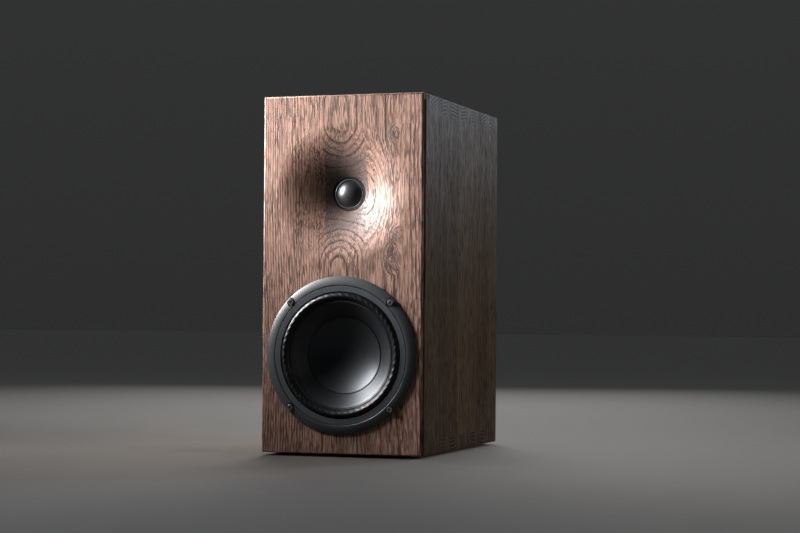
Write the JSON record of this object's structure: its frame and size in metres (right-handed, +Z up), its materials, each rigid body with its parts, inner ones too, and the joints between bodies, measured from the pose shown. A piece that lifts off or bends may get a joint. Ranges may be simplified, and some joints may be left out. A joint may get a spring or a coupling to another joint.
{
  "type": "bookshelf speaker",
  "caption": "Two-way bookshelf loudspeaker: finger-jointed oak cabinet, thick baffle turned as a waveguide, metal-cone woofer, rear reflex port and screw-down binding posts.",
  "frame": {"origin": "bottom centre of the object's bounding box, on the plane that the feet stand on", "axes": "+Z up; the drivers face -Y; +X is the right side as seen from the front, the left panel is at -X"},
  "size_m": [0.18, 0.3108, 0.383],
  "materials": {
    "smoked_oak": "oiled smoked oak, open grain",
    "birch_plywood": "raw plywood",
    "spacer_black": "matt black",
    "foot_rubber": "matt rubber",
    "wool_felt": "pressed wool felt",
    "basket_black": "fine-textured satin black paint on die casting",
    "clamp_ring_black": "satin dark grey",
    "soft_rubber": "smooth black rubber",
    "anodised_aluminium": "dark anodised, satin",
    "coil_former": "plain foil",
    "copper_wire": "enamelled copper winding",
    "spider_cloth": "resin-treated cloth",
    "plated_steel": "zinc plated",
    "ferrite": "sintered ferrite",
    "tag_board": "glass-fibre board",
    "black_steel": "black oxide",
    "moulded_black": "moulded, satin",
    "terminal_plate_metal": "black anodised",
    "gold_plated_brass": "gold plated, polished",
    "red_cap_plastic": "clear-coated moulded plastic",
    "black_cap_plastic": "clear-coated moulded plastic",
    "capacitor_film": "wrapped film",
    "cement": "cast cement",
    "lead_sheath": "extruded sheath"
  },
  "bodies": {
    "cabinet": {"side_panel_left": "smoked_oak", "side_panel_right": "smoked_oak", "top_panel": "smoked_oak", "bottom_panel": "smoked_oak", "back_panel": "smoked_oak", "front_baffle": "smoked_oak", "rear_cleat_left": "birch_plywood", "rear_cleat_right": "birch_plywood", "shelf_brace": "birch_plywood", "crossover_board": "birch_plywood", "baffle_spacer": "spacer_black", "foot_1": "foot_rubber", "foot_2": "foot_rubber", "foot_3": "foot_rubber", "foot_4": "foot_rubber", "felt_lining_left": "wool_felt", "felt_lining_right": "wool_felt", "woofer_basket": "basket_black", "woofer_clamp_ring": "clamp_ring_black", "woofer_gasket": "soft_rubber", "woofer_inductor": "copper_wire", "tweeter_inductor": "copper_wire", "woofer_front_plate": "plated_steel", "woofer_yoke": "plated_steel", "tweeter_front_plate": "plated_steel", "tweeter_yoke": "plated_steel", "post_nut_red": "plated_steel", "post_nut_black": "plated_steel", "woofer_magnet": "ferrite", "tweeter_magnet": "ferrite", "woofer_terminal_strip": "tag_board", "woofer_screw_1": "black_steel", "woofer_screw_2": "black_steel", "woofer_screw_3": "black_steel", "woofer_screw_4": "black_steel", "tweeter_face_plate": "moulded_black", "tweeter_rear_chamber": "moulded_black", "reflex_port": "moulded_black", "terminal_plate": "terminal_plate_metal", "post_stud_red": "gold_plated_brass", "post_stud_black": "gold_plated_brass", "crossover_capacitor_1": "capacitor_film", "crossover_capacitor_2": "capacitor_film", "crossover_resistor": "cement", "woofer_lead": "lead_sheath", "tweeter_lead": "lead_sheath", "input_lead": "lead_sheath"},
    "woofer_cone_assembly": {"woofer_cone": "anodised_aluminium", "woofer_cap": "anodised_aluminium", "woofer_coil_former": "coil_former", "woofer_voice_coil": "copper_wire", "woofer_surround": "soft_rubber", "woofer_spider": "spider_cloth"},
    "tweeter_dome_assembly": {"tweeter_dome": "anodised_aluminium", "tweeter_surround": "soft_rubber", "tweeter_voice_coil": "copper_wire"},
    "red_washer": {"post_washer_red": "gold_plated_brass"},
    "red_cap": {"post_cap_red": "red_cap_plastic"},
    "black_washer": {"post_washer_black": "gold_plated_brass"},
    "black_cap": {"post_cap_black": "black_cap_plastic"}
  },
  "joints": [
    {"name": "cone_travel", "type": "slide", "parent": "cabinet", "child": "woofer_cone_assembly", "axis": [0, -1, 0], "range_m": [-0.006, 0.006], "stiffness_N_per_m": 1000, "deforming": ["woofer_surround", "woofer_spider"]},
    {"name": "dome_travel", "type": "slide", "parent": "cabinet", "child": "tweeter_dome_assembly", "axis": [0, -1, 0], "range_m": [-0.0005, 0.0005], "stiffness_N_per_m": 200, "deforming": ["tweeter_surround"]},
    {"name": "red_washer_slide", "type": "slide", "parent": "cabinet", "child": "red_washer", "axis": [0, 1, 0], "range_m": [0, 0.00501]},
    {"name": "red_cap_turn", "type": "hinge", "parent": "red_washer", "child": "red_cap", "pos_m": [-0.019, 0.13837, 0.095], "axis": [0, 1, 0], "range_deg": [0, 1440]},
    {"name": "black_washer_slide", "type": "slide", "parent": "cabinet", "child": "black_washer", "axis": [0, 1, 0], "range_m": [0, 0.00501]},
    {"name": "black_cap_turn", "type": "hinge", "parent": "black_washer", "child": "black_cap", "pos_m": [0.019, 0.13837, 0.095], "axis": [0, 1, 0], "range_deg": [0, 1440]}
  ],
  "couplings": [
    {"joint": "red_washer_slide", "follows": "red_cap_turn", "m_per_rad": 0.00019894},
    {"joint": "black_washer_slide", "follows": "black_cap_turn", "m_per_rad": 0.00019894}
  ]
}
